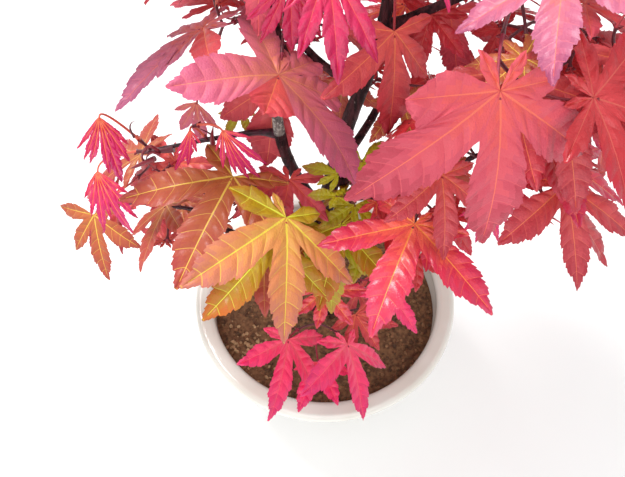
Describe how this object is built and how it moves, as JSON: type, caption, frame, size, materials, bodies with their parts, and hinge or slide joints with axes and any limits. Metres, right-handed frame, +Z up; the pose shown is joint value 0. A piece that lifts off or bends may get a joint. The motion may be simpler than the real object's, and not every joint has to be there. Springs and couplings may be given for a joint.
{
  "type": "maple bonsai in a round pot",
  "caption": "Small maple bonsai in autumn leaf: a slender leaning dark trunk with fine boughs and large lobed leaves, in a deep round white glazed pot of soil.",
  "frame": {"origin": "centre of the pot's flat underside, on the surface that it stands on", "axes": "+Z up along the pot's axis, -Y the tree's front, +X to the viewer's right when facing the front"},
  "size_m": [0.2748, 0.2193, 0.344],
  "materials": {
    "glazed_pot": "gloss",
    "potting_soil": "matte",
    "bark": "matte",
    "leaves_rose": "satin",
    "leaves_scarlet": "satin",
    "leaves_crimson": "satin",
    "leaves_dusty_rose": "satin",
    "leaves_orange": "satin",
    "leaves_russet": "satin",
    "leaves_olive": "satin"
  },
  "bodies": {
    "root": {"pot": "glazed_pot", "soil": "potting_soil", "trunk": "bark", "limb_left": "bark", "side_branch": "bark", "low_shoot": "bark", "front_twig": "bark", "bough_front_left": "bark", "bough_low_left": "bark", "bough_right": "bark", "bough_low_right": "bark", "bough_top_right": "bark", "bough_top_left": "bark", "bough_back_left": "bark", "bough_back_right": "bark", "low_shoot_leaves": "leaves_rose", "centre_green_leaves": "leaves_olive", "front_left_leaves": "leaves_orange", "side_tip_leaves": "leaves_rose", "low_left_leaves": "leaves_russet", "right_front_leaves": "leaves_scarlet", "low_right_leaves": "leaves_crimson", "top_right_leaves": "leaves_dusty_rose", "upper_left_leaves": "leaves_dusty_rose", "crown_leaves": "leaves_rose", "back_left_leaves": "leaves_orange", "back_right_leaves": "leaves_crimson"}
  },
  "joints": []
}
